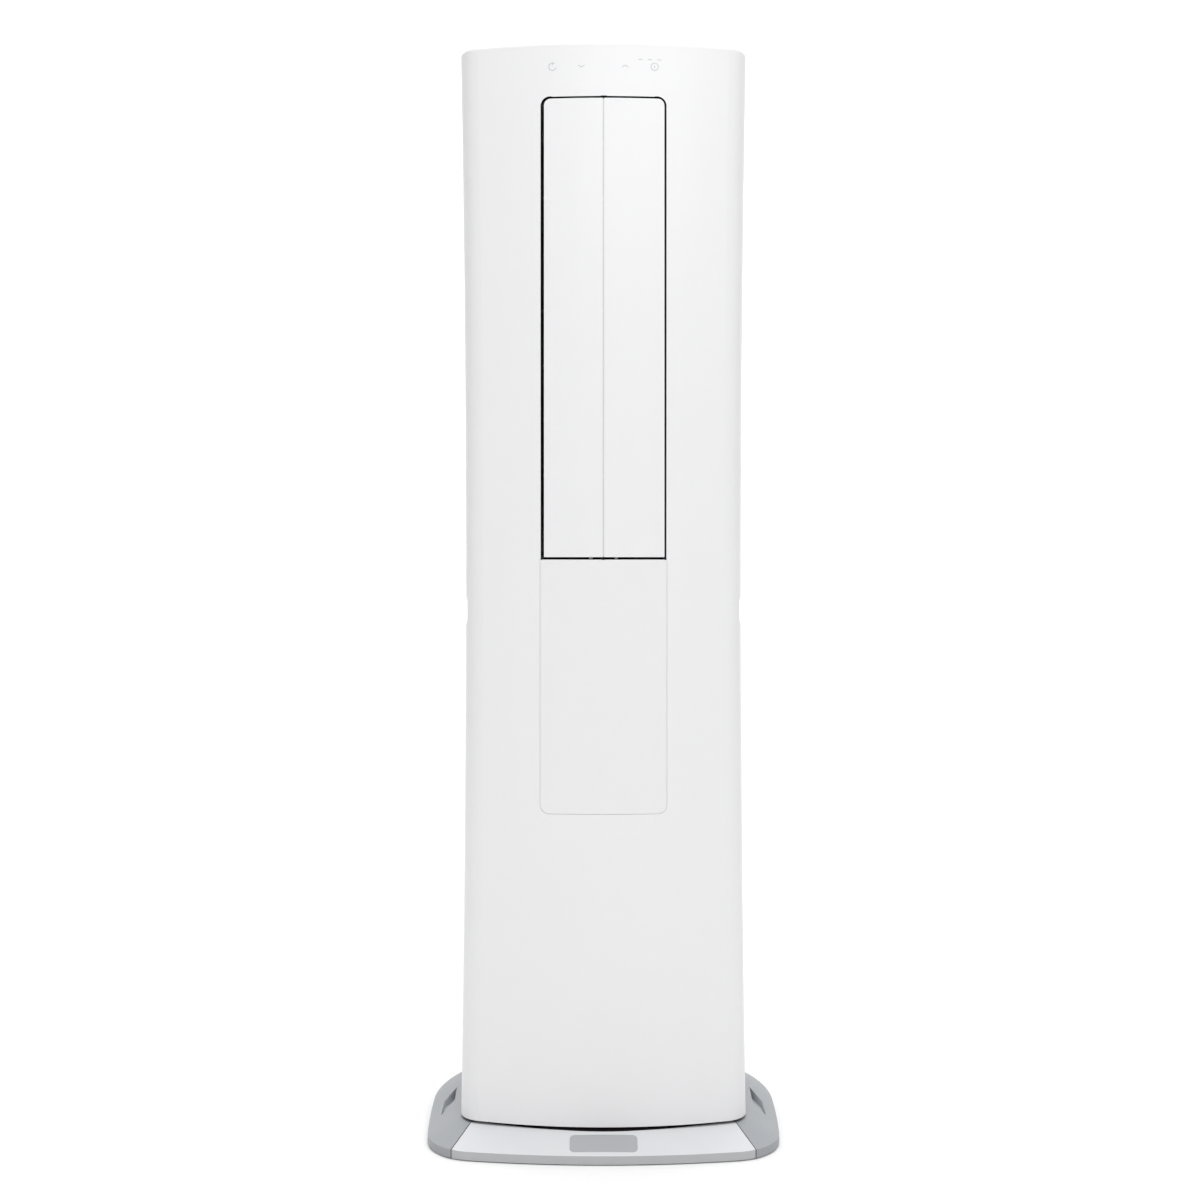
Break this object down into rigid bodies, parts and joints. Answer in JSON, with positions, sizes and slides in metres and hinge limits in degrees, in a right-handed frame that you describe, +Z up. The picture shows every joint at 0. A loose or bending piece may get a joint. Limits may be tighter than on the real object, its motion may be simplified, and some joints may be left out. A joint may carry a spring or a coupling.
{
  "type": "tower air conditioner",
  "caption": "Tall floor-standing tower air conditioner with two swinging front vanes, linked louvres, a cross-flow fan, side grips and a low skirted base.",
  "frame": {"origin": "on the floor under the middle of the base", "axes": "+Z up, -Y out of the front, +X to the viewer's right"},
  "size_m": [0.578, 0.44, 1.76],
  "materials": {
    "white_shell": "moulded, satin gloss",
    "grey_base": "fine moulded grain",
    "grey_pad": "satin",
    "coated_steel": "powder coated",
    "galvanised_steel": "galvanised",
    "black_plastic": "moulded",
    "fin_aluminium": "thin fins",
    "copper_tube": "drawn copper and brass",
    "soft_rubber": "matte",
    "board_green": "solder mask"
  },
  "bodies": {
    "cabinet": {"front_panel": "white_shell", "lower_inlay": "white_shell", "left_lower_side_panel": "white_shell", "left_upper_side_panel": "white_shell", "right_lower_side_panel": "white_shell", "right_upper_side_panel": "white_shell", "top_cover": "white_shell", "left_grip_cup": "white_shell", "right_grip_cup": "white_shell", "air_duct": "white_shell", "base_front_skirt": "grey_base", "base_left_skirt": "grey_base", "base_right_skirt": "grey_base", "base_rear_skirt": "grey_base", "base_front_pad": "grey_pad", "base_plate": "coated_steel", "rear_panel": "coated_steel", "wall_bracket": "coated_steel", "fan_motor": "coated_steel", "left_upright": "galvanised_steel", "right_upright": "galvanised_steel", "lower_end_plate": "galvanised_steel", "upper_end_plate": "galvanised_steel", "control_box": "galvanised_steel", "control_lid": "galvanised_steel", "cabinet_screws": "galvanised_steel", "left_vane_motor": "galvanised_steel", "right_vane_motor": "galvanised_steel", "louvre_motor": "galvanised_steel", "touch_sensors": "galvanised_steel", "fan_scroll": "black_plastic", "fan_tongue": "black_plastic", "drain_pan": "black_plastic", "vane_bushes": "black_plastic", "pipe_outlet_ring": "black_plastic", "cable_gland": "black_plastic", "filter_rails": "black_plastic", "fan_bearing": "black_plastic", "evaporator_core": "fin_aluminium", "evaporator_bends": "copper_tube", "gas_pipe": "copper_tube", "liquid_pipe": "copper_tube", "flare_nuts": "copper_tube", "base_feet": "soft_rubber", "drain_hose": "soft_rubber", "display_board": "board_green"},
    "left_vane": {"left_vane": "white_shell"},
    "right_vane": {"right_vane": "white_shell"},
    "fan": {"fan_rotor": "black_plastic", "fan_shaft": "galvanised_steel"},
    "left_filter": {"left_filter": "black_plastic"},
    "right_filter": {"right_filter": "black_plastic"},
    "louvre_link": {"louvre_link": "black_plastic"},
    "louvre_01": {"louvre_01": "white_shell"},
    "louvre_02": {"louvre_02": "white_shell"},
    "louvre_03": {"louvre_03": "white_shell"},
    "louvre_04": {"louvre_04": "white_shell"},
    "louvre_05": {"louvre_05": "white_shell"},
    "louvre_06": {"louvre_06": "white_shell"},
    "louvre_07": {"louvre_07": "white_shell"},
    "louvre_08": {"louvre_08": "white_shell"}
  },
  "joints": [
    {"name": "left_vane_swing", "type": "hinge", "parent": "cabinet", "child": "left_vane", "pos_m": [-0.02, -0.158, 1.3], "axis": [0, 0, -1], "range_deg": [0, 90]},
    {"name": "right_vane_swing", "type": "hinge", "parent": "cabinet", "child": "right_vane", "pos_m": [0.02, -0.158, 1.3], "axis": [0, 0, 1], "range_deg": [0, 90]},
    {"name": "fan_spin", "type": "hinge", "parent": "cabinet", "child": "fan", "pos_m": [0, 0.028, 1.3], "axis": [0, 0, 1], "continuous": true},
    {"name": "left_filter_slide", "type": "slide", "parent": "cabinet", "child": "left_filter", "axis": [-1, 0, 0], "range_m": [0, 0.2]},
    {"name": "right_filter_slide", "type": "slide", "parent": "cabinet", "child": "right_filter", "axis": [1, 0, 0], "range_m": [0, 0.2]},
    {"name": "louvre_01_tilt", "type": "hinge", "parent": "cabinet", "child": "louvre_01", "pos_m": [0, -0.058, 0.98547], "axis": [1, 0, 0], "range_deg": [-35, 35]},
    {"name": "louvre_02_tilt", "type": "hinge", "parent": "cabinet", "child": "louvre_02", "pos_m": [0, -0.058, 1.07723], "axis": [1, 0, 0], "range_deg": [-35, 35]},
    {"name": "louvre_03_tilt", "type": "hinge", "parent": "cabinet", "child": "louvre_03", "pos_m": [0, -0.058, 1.16898], "axis": [1, 0, 0], "range_deg": [-35, 35]},
    {"name": "louvre_04_tilt", "type": "hinge", "parent": "cabinet", "child": "louvre_04", "pos_m": [0, -0.058, 1.26073], "axis": [1, 0, 0], "range_deg": [-35, 35]},
    {"name": "louvre_05_tilt", "type": "hinge", "parent": "cabinet", "child": "louvre_05", "pos_m": [0, -0.058, 1.35248], "axis": [1, 0, 0], "range_deg": [-35, 35]},
    {"name": "louvre_06_tilt", "type": "hinge", "parent": "cabinet", "child": "louvre_06", "pos_m": [0, -0.058, 1.44423], "axis": [1, 0, 0], "range_deg": [-35, 35]},
    {"name": "louvre_07_tilt", "type": "hinge", "parent": "cabinet", "child": "louvre_07", "pos_m": [0, -0.058, 1.53598], "axis": [1, 0, 0], "range_deg": [-35, 35]},
    {"name": "louvre_08_tilt", "type": "hinge", "parent": "cabinet", "child": "louvre_08", "pos_m": [0, -0.058, 1.62773], "axis": [1, 0, 0], "range_deg": [-35, 35]},
    {"name": "louvre_link_swing", "type": "hinge", "parent": "louvre_01", "child": "louvre_link", "pos_m": [0.0893, -0.038, 0.98547], "axis": [1, 0, 0], "range_deg": [-35, 35]}
  ],
  "couplings": [
    {"joint": "louvre_02_tilt", "follows": "louvre_01_tilt", "ratio": 1},
    {"joint": "louvre_03_tilt", "follows": "louvre_01_tilt", "ratio": 1},
    {"joint": "louvre_04_tilt", "follows": "louvre_01_tilt", "ratio": 1},
    {"joint": "louvre_05_tilt", "follows": "louvre_01_tilt", "ratio": 1},
    {"joint": "louvre_06_tilt", "follows": "louvre_01_tilt", "ratio": 1},
    {"joint": "louvre_07_tilt", "follows": "louvre_01_tilt", "ratio": 1},
    {"joint": "louvre_08_tilt", "follows": "louvre_01_tilt", "ratio": 1},
    {"joint": "louvre_link_swing", "follows": "louvre_01_tilt", "ratio": -1}
  ]
}
